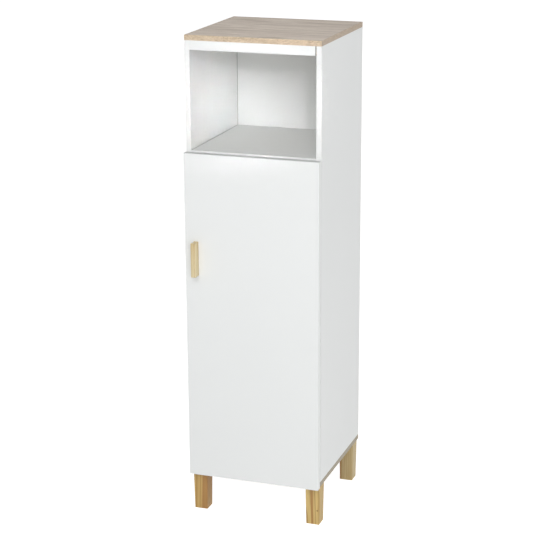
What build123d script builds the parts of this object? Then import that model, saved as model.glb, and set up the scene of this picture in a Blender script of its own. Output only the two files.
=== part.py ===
from build123d import *
import os

os.makedirs("parts", exist_ok=True)

# Free-standing bathroom shelf unit, in millimetres. X runs across the front, Y runs back, Z up.
# The origin lies on the floor under the middle of everything, handle included.

# Carcass
WIDTH = 320.0
DEPTH = 315.0
HEIGHT = 1140.0
BOARD = 12.0
BAND = 0.8
BAND_EDGE = 0.15
BACK_THICKNESS = 3.0
BACK_SETBACK = 10.0
GROOVE_DEPTH = 5.0
PANEL_FIT = 0.1
NICHE_HEIGHT = 248.0
RAIL_HEIGHT = 21.0
RAIL_GAP = 0.9
RAIL_EDGE = 0.3
RAIL_DOWEL_FROM_MIDDLE = 80.0
INNER_SHELF_GAP = 1.0
INNER_SHELF_SETBACK = 26.0
INNER_SHELF_HEIGHT = 380.0

# Legs
LEG_HEIGHT = 99.0
LEG_TOP_WIDTH = 35.0
LEG_FOOT_WIDTH = 32.0
LEG_SIDE_INSET = 2.0
LEG_FRONT_INSET = 2.0
LEG_REAR_INSET = 6.0
LEG_EDGE = 0.8

# Door and handle
DOOR_THICKNESS = 15.0
DOOR_GAP = 2.5
DOOR_DROP = 2.5
SHELF_EDGE_SHOWN = 3.6
HANDLE_WIDTH = 11.0
HANDLE_DEPTH = 22.0
HANDLE_LENGTH = 80.0
HANDLE_FROM_EDGE = 21.5
HANDLE_CENTRE_HEIGHT = 632.0
HANDLE_EDGE = 1.2
GROOVE_RADIUS = 4.2
GROOVE_FROM_DOOR = 8.0
HANDLE_SCREW_PITCH = 40.0
HANDLE_SCREW_IN_BAR = 15.0
BUMPER_RADIUS = 4.0
BUMPER_THICKNESS = 2.4
BUMPER_FROM_END = 36.0
BUMPER_FROM_EDGE = 6.0

# Fittings. Those sealed in the boards are drawn with few flat sides.
FASTENER_SIDES = 8
DOWEL_RADIUS = 3.0
DOWEL_IN_FACE = 8.0
DOWEL_IN_EDGE = 20.0
CAM_RADIUS = 6.0
CAM_DEPTH = 9.0
CAM_FROM_EDGE = 24.0
CAM_FIT = 0.1
BOLT_HEAD_RADIUS = 2.6
BOLT_NECK_RADIUS = 1.8
BOLT_HEAD_LENGTH = 3.0
BOLT_THREAD_RADIUS = 2.5
BOLT_IN_FACE = 9.0
CAM_FRONT_SETBACK = 62.0
CAM_REAR_SETBACK = 60.0
DOWEL_FROM_CAM = 32.0
PIN_RADIUS = 2.5
PIN_IN_SIDE = 8.0
PIN_REACH = 9.0
PIN_PAD_THICKNESS = 2.0
PIN_PAD_SINK = 0.6
PIN_PAD_WIDTH = 8.0
PIN_WEB = 1.2
PIN_WEB_DROP = 5.0
PIN_HOLE_DEPTH = 9.0
PIN_HOLE_PITCH = 32.0
PIN_HOLES_EACH_WAY = 1
PIN_FRONT_SETBACK = 60.0
PIN_REAR_SETBACK = 62.0
HANGER_RADIUS = 4.0
HANGER_IN_LEG = 28.0
INSERT_RADIUS = 6.0
INSERT_LENGTH = 9.0
INSERT_FLANGE_RADIUS = 8.0
INSERT_FLANGE = 1.0
BRACKET_STEEL = 1.5
BRACKET_WIDTH = 30.0
BRACKET_DROP = 24.0
BRACKET_CORNER = 3.0
BRACKET_SCREW_PITCH = 15.0
BRACKET_SCREW_HEAD = 1.0
BRACKET_SCREW_HEAD_RADIUS = 2.7
BRACKET_SCREW_IN_TOP = 9.0
WALL_HOLE_RADIUS = 2.75
WALL_HOLE_DROP = 14.4
SCREW_RADIUS = 1.75
SCREW_HEAD_RADIUS = 3.4
SCREW_HEAD = 2.0

# Concealed hinges: a cup in the door, and an arm whose bent neck dips into the cup to its pin
HINGE_FROM_DOOR_END = 90.0
CUP_RADIUS = 17.5
CUP_DEPTH = 12.3
CUP_WALL = 1.0
CUP_FROM_EDGE = 3.0
CUP_FLANGE = 1.2
CUP_FLANGE_RADIUS = 18.5
CUP_FLANGE_LENGTH = 56.0
CUP_FLANGE_WIDTH = 17.0
CUP_FLANGE_CORNER = 5.0
CUP_SCREW_PITCH = 46.0
CUP_SCREW_LENGTH = 9.0
CUP_SCREW_HEAD = 0.6
CUP_SCREW_HEAD_RADIUS = 3.1
SWING_FROM_EDGE = 6.5
SWING_FROM_BACK = 9.0
SWING_PIN_RADIUS = 1.0
SWING_PIN_FIT = 0.05
SWING_PIN_LENGTH = 17.8
SWING_PIN_SEAT_RADIUS = 1.1
KNUCKLE_RADIUS = 1.7
NECK_WIDTH = 7.0
NECK_SINK = 0.1
PLATE_FROM_FRONT = 37.0
PLATE_LENGTH = 46.0
PLATE_WIDTH = 18.0
PLATE_CORNER = 3.0
PLATE_THICKNESS = 2.0
PLATE_SCREW_PITCH = 32.0
PLATE_SCREW_LENGTH = 9.0
SADDLE_WIDTH = 11.0
SADDLE_HEIGHT = 5.0
ARM_WIDTH = 14.0
ARM_STEEL = 1.2
ARM_BACK_REACH = 58.0
ARM_FRONT_GAP = 0.4

# Places worked out from the sizes
REAR = (DEPTH + DOOR_GAP + DOOR_THICKNESS + HANDLE_DEPTH) / 2
FRONT = REAR - DEPTH
DOOR_BACK = FRONT - DOOR_GAP
DOOR_FRONT = DOOR_BACK - DOOR_THICKNESS
RIGHT = WIDTH / 2
LEFT = -RIGHT
INNER_RIGHT = RIGHT - BOARD
INNER_LEFT = -INNER_RIGHT
FLOOR_TOP = LEG_HEIGHT + BOARD
CEILING = HEIGHT - BOARD
SHELF_TOP = CEILING - NICHE_HEIGHT
SHELF_BOTTOM = SHELF_TOP - BOARD
SHELF_MIDDLE = SHELF_TOP - BOARD / 2
BACK_REAR = REAR - BACK_SETBACK
BACK_FRONT = BACK_REAR - BACK_THICKNESS
DOOR_TOP = SHELF_TOP - SHELF_EDGE_SHOWN
DOOR_BOTTOM = LEG_HEIGHT - DOOR_DROP
INNER_SHELF_BOTTOM = FLOOR_TOP + INNER_SHELF_HEIGHT
HINGE_HEIGHTS = (DOOR_TOP - HINGE_FROM_DOOR_END, DOOR_BOTTOM + HINGE_FROM_DOOR_END)
CUP_X = RIGHT - CUP_FROM_EDGE - CUP_RADIUS
SWING_X = RIGHT - SWING_FROM_EDGE
SWING_Y = DOOR_BACK - SWING_FROM_BACK
PLATE_Y = FRONT + PLATE_FROM_FRONT
CAM_ROWS = (FRONT + CAM_FRONT_SETBACK, REAR - CAM_REAR_SETBACK)
DOWEL_ROWS = (CAM_ROWS[0] + DOWEL_FROM_CAM, CAM_ROWS[1] - DOWEL_FROM_CAM)
PIN_ROWS = (FRONT + PIN_FRONT_SETBACK, REAR - PIN_REAR_SETBACK)
PIN_Z = INNER_SHELF_BOTTOM - PIN_PAD_THICKNESS - PIN_RADIUS + PIN_PAD_SINK
RAIL_MIDDLE_Y = FRONT + BOARD / 2
RAIL_MIDDLE_Z = CEILING - RAIL_HEIGHT / 2
BRACKET_SCREW_Y = REAR - BACK_SETBACK / 2
SIGNS = (-1, 1)


def finish(part, name):
    part.part.label = name
    export_step(part.part, f"parts/{name}.step")


def block(x, y, z, mode=Mode.ADD):
    """Add a box to the part being built, from its low and high limits along each axis."""
    with BuildSketch(Plane.XY.offset(z[0])) as outline:
        with Locations(((x[0] + x[1]) / 2, (y[0] + y[1]) / 2)):
            Rectangle(x[1] - x[0], y[1] - y[0])
    extrude(outline.sketch, amount=z[1] - z[0], mode=mode)


def cut_block(x, y, z):
    """Cut a box out of the part being built."""
    block(x, y, z, Mode.SUBTRACT)


def rod(start, direction, radius, length, mode=Mode.ADD):
    """Add or cut a round bar that starts at a point and runs along a direction."""
    with BuildSketch(Plane(origin=start, z_dir=direction)) as outline:
        Circle(radius)
    extrude(outline.sketch, amount=length, mode=mode)


def stud(start, direction, radius, length, mode=Mode.ADD):
    """Add or cut a bar like rod's with a few flat sides, for small fittings and their holes."""
    with BuildSketch(Plane(origin=start, z_dir=direction)) as outline:
        RegularPolygon(radius, FASTENER_SIDES)
    extrude(outline.sketch, amount=length, mode=mode)


def stud_hole(start, direction, radius, length):
    stud(start, direction, radius, length, Mode.SUBTRACT)


def moved(point, direction, distance):
    """The point reached from another by going a distance along a direction."""
    return tuple(p + d * distance for p, d in zip(point, direction))


def pair(middle, pitch):
    """Two values either side of a middle."""
    return [middle + sign * pitch / 2 for sign in SIGNS]


def band(name, x, y, z, long_axis):
    """A strip of edge banding, its long edges eased where fingers meet them."""
    with BuildPart() as strip:
        block(x, y, z)
        chamfer(strip.edges().filter_by(long_axis), BAND_EDGE)
    finish(strip, name)


# Top and bottom boards, with their fittings' holes in the face that meets the sides

def leg_centres():
    """Middles of the four leg tops: front left, front right, rear left, rear right."""
    x = RIGHT - LEG_SIDE_INSET - LEG_TOP_WIDTH / 2
    front = FRONT + LEG_FRONT_INSET + LEG_TOP_WIDTH / 2
    rear = REAR - LEG_REAR_INSET - LEG_TOP_WIDTH / 2
    return [(-x, front), (x, front), (-x, rear), (x, rear)]


def end_board(low, inner_face, inward):
    """Shape a full-width board. inner_face is the height of the face that meets the sides."""
    outward = (0, 0, -inward)
    block((LEFT + BAND, RIGHT - BAND), (FRONT + BAND, REAR), (low, low + BOARD))
    cut_block(
        (INNER_LEFT - GROOVE_DEPTH, INNER_RIGHT + GROOVE_DEPTH),
        (BACK_FRONT - PANEL_FIT, BACK_REAR + PANEL_FIT),
        sorted((inner_face, inner_face - inward * GROOVE_DEPTH)),
    )
    for x in pair(0, WIDTH - BOARD):
        for y in CAM_ROWS:
            stud_hole((x, y, inner_face), outward, BOLT_THREAD_RADIUS, BOLT_IN_FACE)
        for y in DOWEL_ROWS:
            stud_hole((x, y, inner_face), outward, DOWEL_RADIUS, DOWEL_IN_FACE)


with BuildPart() as top_panel:
    end_board(CEILING, CEILING, -1)
    for x in pair(0, RAIL_DOWEL_FROM_MIDDLE * 2):
        stud_hole((x, RAIL_MIDDLE_Y, CEILING), (0, 0, 1), DOWEL_RADIUS, DOWEL_IN_FACE)
    for x in pair(0, BRACKET_SCREW_PITCH):
        stud_hole((x, BRACKET_SCREW_Y, CEILING), (0, 0, 1), SCREW_RADIUS, BRACKET_SCREW_IN_TOP)
finish(top_panel, "top_panel")

with BuildPart() as bottom_panel:
    end_board(LEG_HEIGHT, FLOOR_TOP, 1)
    for x, y in leg_centres():
        stud_hole((x, y, LEG_HEIGHT), (0, 0, 1), INSERT_FLANGE_RADIUS, INSERT_FLANGE)
        stud_hole((x, y, LEG_HEIGHT), (0, 0, 1), INSERT_RADIUS, INSERT_LENGTH)
finish(bottom_panel, "bottom_panel")

for board_name, low in (("top", CEILING), ("bottom", LEG_HEIGHT)):
    z_span = (low, low + BOARD)
    band(f"{board_name}_front_band", (LEFT, RIGHT), (FRONT, FRONT + BAND), z_span, Axis.X)
    band(f"{board_name}_left_band", (LEFT, LEFT + BAND), (FRONT + BAND, REAR), z_span, Axis.Y)
    band(f"{board_name}_right_band", (RIGHT - BAND, RIGHT), (FRONT + BAND, REAR), z_span, Axis.Y)


# Side panels: grooved for the back, bored for cams, dowels, shelf pins and hinge plates

def side_panel(sign):
    inner = sign * INNER_RIGHT
    middle = sign * (RIGHT - BOARD / 2)
    outward = (sign, 0, 0)
    block(sorted((inner, sign * RIGHT)), (FRONT + BAND, REAR), (FLOOR_TOP, CEILING))
    cut_block(
        sorted((inner, inner + sign * GROOVE_DEPTH)),
        (BACK_FRONT - PANEL_FIT, BACK_REAR + PANEL_FIT),
        (FLOOR_TOP, CEILING),
    )
    for end, inward in ((FLOOR_TOP, 1), (CEILING, -1)):
        for y in CAM_ROWS:
            cam_z = end + inward * CAM_FROM_EDGE
            stud_hole((inner, y, cam_z), outward, CAM_RADIUS + CAM_FIT, CAM_DEPTH + CAM_FIT)
            stud_hole((middle, y, end), (0, 0, inward), BOLT_HEAD_RADIUS + CAM_FIT, CAM_FROM_EDGE)
        for y in DOWEL_ROWS:
            stud_hole((middle, y, end), (0, 0, inward), DOWEL_RADIUS, DOWEL_IN_EDGE)
    for y in CAM_ROWS:
        stud_hole((inner, y, SHELF_MIDDLE), outward, BOLT_THREAD_RADIUS, BOLT_IN_FACE)
    for y in DOWEL_ROWS:
        stud_hole((inner, y, SHELF_MIDDLE), outward, DOWEL_RADIUS, DOWEL_IN_FACE)
    stud_hole((inner, RAIL_MIDDLE_Y, RAIL_MIDDLE_Z), outward, DOWEL_RADIUS, DOWEL_IN_FACE)
    for y in PIN_ROWS:
        for step in range(-PIN_HOLES_EACH_WAY, PIN_HOLES_EACH_WAY + 1):
            hole = (inner, y, PIN_Z + step * PIN_HOLE_PITCH)
            stud_hole(hole, outward, PIN_RADIUS, PIN_HOLE_DEPTH)


with BuildPart() as left_side:
    side_panel(-1)
finish(left_side, "left_side")

with BuildPart() as right_side:
    side_panel(1)
    for hinge_z in HINGE_HEIGHTS:
        for z in pair(hinge_z, PLATE_SCREW_PITCH):
            depth = PLATE_SCREW_LENGTH - PLATE_THICKNESS
            stud_hole((INNER_RIGHT, PLATE_Y, z), (1, 0, 0), SCREW_RADIUS, depth)
finish(right_side, "right_side")

side_band_y = (FRONT, FRONT + BAND)
band("left_side_band", (LEFT, INNER_LEFT), side_band_y, (FLOOR_TOP, CEILING), Axis.Z)
band("right_side_band", (INNER_RIGHT, RIGHT), side_band_y, (FLOOR_TOP, CEILING), Axis.Z)

# Fixed shelf between the open niche and the cupboard, held by cams in its underside
with BuildPart() as fixed_shelf:
    block((INNER_LEFT, INNER_RIGHT), (FRONT + BAND, BACK_FRONT), (SHELF_BOTTOM, SHELF_TOP))
    for sign in SIGNS:
        end = sign * INNER_RIGHT
        for y in CAM_ROWS:
            cam_centre = (end - sign * CAM_FROM_EDGE, y, SHELF_BOTTOM)
            stud_hole(cam_centre, (0, 0, 1), CAM_RADIUS + CAM_FIT, CAM_DEPTH + CAM_FIT)
            channel = (end, y, SHELF_MIDDLE)
            stud_hole(channel, (-sign, 0, 0), BOLT_HEAD_RADIUS + CAM_FIT, CAM_FROM_EDGE)
        for y in DOWEL_ROWS:
            stud_hole((end, y, SHELF_MIDDLE), (-sign, 0, 0), DOWEL_RADIUS, DOWEL_IN_EDGE)
finish(fixed_shelf, "fixed_shelf")
shelf_span = (SHELF_BOTTOM, SHELF_TOP)
band("fixed_shelf_band", (INNER_LEFT, INNER_RIGHT), (FRONT, FRONT + BAND), shelf_span, Axis.X)

# Front rail under the top, a hair short at its right end
RAIL_ENDS = ((-1, INNER_LEFT), (1, INNER_RIGHT - RAIL_GAP))
with BuildPart() as front_rail:
    block((INNER_LEFT, INNER_RIGHT - RAIL_GAP), (FRONT, FRONT + BOARD), (CEILING - RAIL_HEIGHT, CEILING))
    chamfer(front_rail.edges().filter_by(Axis.X), RAIL_EDGE)
    for sign, end in RAIL_ENDS:
        stud_hole((end, RAIL_MIDDLE_Y, RAIL_MIDDLE_Z), (-sign, 0, 0), DOWEL_RADIUS, DOWEL_IN_EDGE)
    for x in pair(0, RAIL_DOWEL_FROM_MIDDLE * 2):
        stud_hole((x, RAIL_MIDDLE_Y, CEILING), (0, 0, -1), DOWEL_RADIUS, RAIL_HEIGHT / 2)
finish(front_rail, "front_rail")

# Hardboard back, slid into the grooves of all four boards
BACK_IN_GROOVE = GROOVE_DEPTH - PANEL_FIT
with BuildPart() as back_panel:
    block(
        (INNER_LEFT - BACK_IN_GROOVE, INNER_RIGHT + BACK_IN_GROOVE),
        (BACK_FRONT, BACK_REAR),
        (FLOOR_TOP - BACK_IN_GROOVE, CEILING + BACK_IN_GROOVE),
    )
finish(back_panel, "back_panel")

# Adjustable shelf inside the cupboard, with its banded front and the four pins it lies on
INNER_SHELF_X = (INNER_LEFT + INNER_SHELF_GAP, INNER_RIGHT - INNER_SHELF_GAP)
INNER_SHELF_FRONT = FRONT + INNER_SHELF_SETBACK
INNER_SHELF_Z = (INNER_SHELF_BOTTOM, INNER_SHELF_BOTTOM + BOARD)
with BuildPart() as inner_shelf:
    block(INNER_SHELF_X, (INNER_SHELF_FRONT + BAND, BACK_FRONT - INNER_SHELF_GAP), INNER_SHELF_Z)
finish(inner_shelf, "inner_shelf")
inner_band_y = (INNER_SHELF_FRONT, INNER_SHELF_FRONT + BAND)
band("inner_shelf_band", INNER_SHELF_X, inner_band_y, INNER_SHELF_Z, Axis.X)

with BuildPart() as shelf_pins:
    for sign in SIGNS:
        inner = sign * INNER_RIGHT
        for y in PIN_ROWS:
            tail = (inner + sign * PIN_IN_SIDE, y, PIN_Z)
            stud(tail, (-sign, 0, 0), PIN_RADIUS, PIN_IN_SIDE + PIN_REACH)
            pad_x = sorted((inner, inner - sign * PIN_REACH))
            pad_y = pair(y, PIN_PAD_WIDTH)
            block(pad_x, pad_y, (INNER_SHELF_BOTTOM - PIN_PAD_THICKNESS, INNER_SHELF_BOTTOM))
            web_x = sorted((inner, inner - sign * PIN_WEB))
            block(web_x, pad_y, (PIN_Z - PIN_WEB_DROP, INNER_SHELF_BOTTOM))
finish(shelf_pins, "shelf_pins")


# Cam fittings and dowels: one group of each kind for every row of joints

def cam_set(name, placements):
    """placements lists each cam's face centre, its way into the board and its way to the joint."""
    with BuildPart() as cams:
        for centre, into, towards in placements:
            stud(centre, into, CAM_RADIUS, CAM_DEPTH)
        for centre, into, towards in placements:
            middle = moved(centre, into, BOARD / 2)
            stud_hole(middle, towards, BOLT_HEAD_RADIUS + CAM_FIT, CAM_RADIUS * 2)
    finish(cams, f"{name}_cams")
    with BuildPart() as bolts:
        for centre, into, towards in placements:
            middle = moved(centre, into, BOARD / 2)
            head = moved(middle, towards, CAM_FIT)
            stud(head, towards, BOLT_HEAD_RADIUS, BOLT_HEAD_LENGTH)
            stud(head, towards, BOLT_NECK_RADIUS, CAM_FROM_EDGE - CAM_FIT)
            joint = moved(middle, towards, CAM_FROM_EDGE)
            stud(joint, towards, BOLT_THREAD_RADIUS, BOLT_IN_FACE)
    finish(bolts, f"{name}_cam_bolts")


def dowel_set(name, placements):
    """placements lists each dowel's joint point and its way into the board's edge."""
    with BuildPart() as dowels:
        for joint, inward in placements:
            start = moved(joint, inward, -DOWEL_IN_FACE)
            stud(start, inward, DOWEL_RADIUS, DOWEL_IN_FACE + DOWEL_IN_EDGE)
    finish(dowels, f"{name}_dowels")


for board_name, end, inward in (("top", CEILING, -1), ("bottom", FLOOR_TOP, 1)):
    cams = []
    dowels = []
    for sign in SIGNS:
        for y in CAM_ROWS:
            centre = (sign * INNER_RIGHT, y, end + inward * CAM_FROM_EDGE)
            cams.append((centre, (sign, 0, 0), (0, 0, -inward)))
        for y in DOWEL_ROWS:
            dowels.append(((sign * (RIGHT - BOARD / 2), y, end), (0, 0, inward)))
    cam_set(board_name, cams)
    dowel_set(board_name, dowels)

shelf_cams = []
shelf_dowels = []
for sign in SIGNS:
    for y in CAM_ROWS:
        centre = (sign * (INNER_RIGHT - CAM_FROM_EDGE), y, SHELF_BOTTOM)
        shelf_cams.append((centre, (0, 0, 1), (sign, 0, 0)))
    for y in DOWEL_ROWS:
        shelf_dowels.append(((sign * INNER_RIGHT, y, SHELF_MIDDLE), (-sign, 0, 0)))
cam_set("shelf", shelf_cams)
dowel_set("shelf", shelf_dowels)

with BuildPart() as rail_dowels:
    for sign, end in RAIL_ENDS:
        tail = (sign * (INNER_RIGHT + DOWEL_IN_FACE), RAIL_MIDDLE_Y, RAIL_MIDDLE_Z)
        stud(tail, (-sign, 0, 0), DOWEL_RADIUS, abs(tail[0] - end) + DOWEL_IN_EDGE)
    for x in pair(0, RAIL_DOWEL_FROM_MIDDLE * 2):
        tail = (x, RAIL_MIDDLE_Y, CEILING + DOWEL_IN_FACE)
        stud(tail, (0, 0, -1), DOWEL_RADIUS, DOWEL_IN_FACE + RAIL_HEIGHT / 2)
finish(rail_dowels, "rail_dowels")

# Four tapered pine legs, each turned onto a hanger bolt held by an insert in the bottom board
leg_names = ("front_left_leg", "front_right_leg", "rear_left_leg", "rear_right_leg")
LEG_PROFILE = [
    (-LEG_FOOT_WIDTH / 2, 0),
    (LEG_FOOT_WIDTH / 2, 0),
    (LEG_TOP_WIDTH / 2, LEG_HEIGHT),
    (-LEG_TOP_WIDTH / 2, LEG_HEIGHT),
]
LEG_VIEWS = (((1, 0, 0), (0, -1, 0), Mode.ADD), ((0, 1, 0), (1, 0, 0), Mode.INTERSECT))
for leg_name, (x, y) in zip(leg_names, leg_centres()):
    with BuildPart() as leg:
        for across, normal, mode in LEG_VIEWS:
            with BuildSketch(Plane(origin=(x, y, 0), x_dir=across, z_dir=normal)) as leg_view:
                Polygon(*LEG_PROFILE, align=None)
            extrude(leg_view.sketch, amount=LEG_TOP_WIDTH / 2, both=True, mode=mode)
        corners = leg.edges().filter_by(lambda edge: edge.length > LEG_HEIGHT)
        chamfer(corners, LEG_EDGE)
        stud_hole((x, y, LEG_HEIGHT), (0, 0, -1), HANGER_RADIUS, HANGER_IN_LEG)
    finish(leg, leg_name)

with BuildPart() as leg_inserts:
    for x, y in leg_centres():
        stud((x, y, LEG_HEIGHT), (0, 0, 1), INSERT_FLANGE_RADIUS, INSERT_FLANGE)
        stud((x, y, LEG_HEIGHT), (0, 0, 1), INSERT_RADIUS, INSERT_LENGTH)
        stud_hole((x, y, LEG_HEIGHT), (0, 0, 1), HANGER_RADIUS, INSERT_LENGTH)
finish(leg_inserts, "leg_inserts")

with BuildPart() as leg_bolts:
    for x, y in leg_centres():
        stud((x, y, LEG_HEIGHT - HANGER_IN_LEG), (0, 0, 1), HANGER_RADIUS, HANGER_IN_LEG + INSERT_LENGTH)
finish(leg_bolts, "leg_bolts")

# Steel angle behind the back panel that ties the top to a wall
with BuildPart() as wall_bracket:
    block(pair(0, BRACKET_WIDTH), (BACK_REAR + PANEL_FIT, REAR), (CEILING - BRACKET_STEEL, CEILING))
    block(pair(0, BRACKET_WIDTH), (REAR - BRACKET_STEEL, REAR), (CEILING - BRACKET_DROP, CEILING))
    chamfer(wall_bracket.edges().filter_by(Axis.Y).group_by(Axis.Z)[0], BRACKET_CORNER)
    wall_hole = (0, REAR, CEILING - WALL_HOLE_DROP)
    rod(wall_hole, (0, -1, 0), WALL_HOLE_RADIUS, BRACKET_STEEL, Mode.SUBTRACT)
    for x in pair(0, BRACKET_SCREW_PITCH):
        stud_hole((x, BRACKET_SCREW_Y, CEILING), (0, 0, -1), SCREW_RADIUS, BRACKET_STEEL)
finish(wall_bracket, "wall_bracket")

with BuildPart() as bracket_screws:
    for x in pair(0, BRACKET_SCREW_PITCH):
        seat = (x, BRACKET_SCREW_Y, CEILING - BRACKET_STEEL)
        stud(seat, (0, 0, -1), BRACKET_SCREW_HEAD_RADIUS, BRACKET_SCREW_HEAD)
        stud(seat, (0, 0, 1), SCREW_RADIUS, BRACKET_STEEL + BRACKET_SCREW_IN_TOP)
finish(bracket_screws, "bracket_screws")

# Door: a full overlay slab with bored hinge cups, banded on all four edges
HANDLE_X = LEFT + HANDLE_FROM_EDGE + HANDLE_WIDTH / 2
HANDLE_SCREW_HEIGHTS = pair(HANDLE_CENTRE_HEIGHT, HANDLE_SCREW_PITCH)
with BuildPart() as door_panel:
    block((LEFT + BAND, RIGHT - BAND), (DOOR_FRONT, DOOR_BACK), (DOOR_BOTTOM + BAND, DOOR_TOP - BAND))
    for hinge_z in HINGE_HEIGHTS:
        rod((CUP_X, DOOR_BACK, hinge_z), (0, -1, 0), CUP_RADIUS, CUP_DEPTH, Mode.SUBTRACT)
        for z in pair(hinge_z, CUP_SCREW_PITCH):
            depth = CUP_SCREW_LENGTH - CUP_FLANGE
            stud_hole((CUP_X, DOOR_BACK, z), (0, -1, 0), SCREW_RADIUS, depth)
    for z in HANDLE_SCREW_HEIGHTS:
        stud_hole((HANDLE_X, DOOR_BACK, z), (0, -1, 0), SCREW_RADIUS, DOOR_THICKNESS)
        stud_hole((HANDLE_X, DOOR_BACK, z), (0, -1, 0), SCREW_HEAD_RADIUS, SCREW_HEAD)
finish(door_panel, "door_panel")

door_y = (DOOR_FRONT, DOOR_BACK)
door_z = (DOOR_BOTTOM + BAND, DOOR_TOP - BAND)
band("door_top_band", (LEFT, RIGHT), door_y, (DOOR_TOP - BAND, DOOR_TOP), Axis.X)
band("door_bottom_band", (LEFT, RIGHT), door_y, (DOOR_BOTTOM, DOOR_BOTTOM + BAND), Axis.X)
band("door_left_band", (LEFT, LEFT + BAND), door_y, door_z, Axis.Z)
band("door_right_band", (RIGHT - BAND, RIGHT), door_y, door_z, Axis.Z)

# Pine bar handle on edge, with a finger groove down its outer side next to the door
with BuildPart() as handle:
    with BuildSketch(Plane.XY.offset(HANDLE_CENTRE_HEIGHT - HANDLE_LENGTH / 2)) as handle_section:
        with Locations((HANDLE_X, DOOR_FRONT - HANDLE_DEPTH / 2)):
            Rectangle(HANDLE_WIDTH, HANDLE_DEPTH)
        fillet(handle_section.vertices().group_by(Axis.Y)[0], HANDLE_EDGE)
        with Locations((HANDLE_X - HANDLE_WIDTH / 2, DOOR_FRONT - GROOVE_FROM_DOOR)):
            Circle(GROOVE_RADIUS, mode=Mode.SUBTRACT)
    extrude(amount=HANDLE_LENGTH)
    for z in HANDLE_SCREW_HEIGHTS:
        stud_hole((HANDLE_X, DOOR_FRONT, z), (0, -1, 0), SCREW_RADIUS, HANDLE_SCREW_IN_BAR)
finish(handle, "handle")

with BuildPart() as handle_screws:
    for z in HANDLE_SCREW_HEIGHTS:
        stud((HANDLE_X, DOOR_BACK, z), (0, -1, 0), SCREW_HEAD_RADIUS, SCREW_HEAD)
        stud((HANDLE_X, DOOR_BACK, z), (0, -1, 0), SCREW_RADIUS, DOOR_THICKNESS + HANDLE_SCREW_IN_BAR)
finish(handle_screws, "handle_screws")

with BuildPart() as door_bumpers:
    for z in (DOOR_TOP - BUMPER_FROM_END, DOOR_BOTTOM + BUMPER_FROM_END):
        stud((LEFT + BUMPER_FROM_EDGE, DOOR_BACK, z), (0, 1, 0), BUMPER_RADIUS, BUMPER_THICKNESS)
finish(door_bumpers, "door_bumpers")

# Concealed hinges. The pin is held by the cup's wall, and the arm's knuckle turns on it.
PLATE_FACE = INNER_RIGHT - PLATE_THICKNESS
ARM_INNER = PLATE_FACE - SADDLE_HEIGHT
ARM_OUTER = ARM_INNER - ARM_STEEL
ARM_FRONT = FRONT + ARM_FRONT_GAP
NECK_LOW = SWING_Y - KNUCKLE_RADIUS + NECK_SINK

for hinge_name, hinge_z in zip(("upper", "lower"), HINGE_HEIGHTS):
    pin_end = (SWING_X, SWING_Y, hinge_z - SWING_PIN_LENGTH / 2)
    with BuildPart() as cup:
        door_face = Plane(origin=(CUP_X, DOOR_BACK, hinge_z), z_dir=(0, 1, 0), x_dir=(0, 0, 1))
        with BuildSketch(door_face) as flange:
            Rectangle(CUP_FLANGE_LENGTH, CUP_FLANGE_WIDTH)
            chamfer(flange.vertices(), CUP_FLANGE_CORNER)
            Circle(CUP_FLANGE_RADIUS)
        extrude(amount=CUP_FLANGE)
        rod((CUP_X, DOOR_BACK, hinge_z), (0, -1, 0), CUP_RADIUS, CUP_DEPTH)
        mouth = (CUP_X, DOOR_BACK + CUP_FLANGE, hinge_z)
        rod(mouth, (0, -1, 0), CUP_RADIUS - CUP_WALL, CUP_FLANGE + CUP_DEPTH - CUP_WALL, Mode.SUBTRACT)
        stud_hole(pin_end, (0, 0, 1), SWING_PIN_SEAT_RADIUS, SWING_PIN_LENGTH)
        for z in pair(hinge_z, CUP_SCREW_PITCH):
            stud_hole((CUP_X, DOOR_BACK, z), (0, 1, 0), SCREW_RADIUS, CUP_FLANGE)
    finish(cup, f"{hinge_name}_hinge_cup")

    with BuildPart() as plate:
        side_face = Plane(origin=(INNER_RIGHT, PLATE_Y, hinge_z), z_dir=(-1, 0, 0), x_dir=(0, 0, 1))
        with BuildSketch(side_face) as base:
            Rectangle(PLATE_LENGTH, PLATE_WIDTH)
            chamfer(base.vertices(), PLATE_CORNER)
        extrude(amount=PLATE_THICKNESS)
        block((ARM_INNER, PLATE_FACE), pair(PLATE_Y, PLATE_WIDTH), pair(hinge_z, SADDLE_WIDTH))
        for z in pair(hinge_z, PLATE_SCREW_PITCH):
            stud_hole((INNER_RIGHT, PLATE_Y, z), (-1, 0, 0), SCREW_RADIUS, PLATE_THICKNESS)
        fixing = (ARM_INNER, PLATE_Y, hinge_z)
        stud_hole(fixing, (1, 0, 0), SCREW_RADIUS, SADDLE_HEIGHT + PLATE_THICKNESS)
    finish(plate, f"{hinge_name}_hinge_plate")

    with BuildPart() as arm:
        arm_y = (ARM_FRONT, FRONT + ARM_BACK_REACH)
        block((ARM_OUTER, PLATE_FACE - ARM_STEEL), arm_y, pair(hinge_z, ARM_WIDTH))
        cut_block((ARM_INNER, PLATE_FACE), arm_y, pair(hinge_z, ARM_WIDTH - ARM_STEEL * 2))
        stud_hole((ARM_OUTER, PLATE_Y, hinge_z), (1, 0, 0), SCREW_RADIUS, ARM_STEEL)
        block((ARM_OUTER, ARM_INNER), (NECK_LOW, ARM_FRONT), pair(hinge_z, NECK_WIDTH))
        block((ARM_OUTER, SWING_X), (NECK_LOW, NECK_LOW + ARM_STEEL), pair(hinge_z, NECK_WIDTH))
        knuckle = (SWING_X, SWING_Y, hinge_z - NECK_WIDTH / 2)
        rod(knuckle, (0, 0, 1), KNUCKLE_RADIUS, NECK_WIDTH)
        rod(knuckle, (0, 0, 1), SWING_PIN_RADIUS + SWING_PIN_FIT, NECK_WIDTH, Mode.SUBTRACT)
    finish(arm, f"{hinge_name}_hinge_arm")

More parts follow.
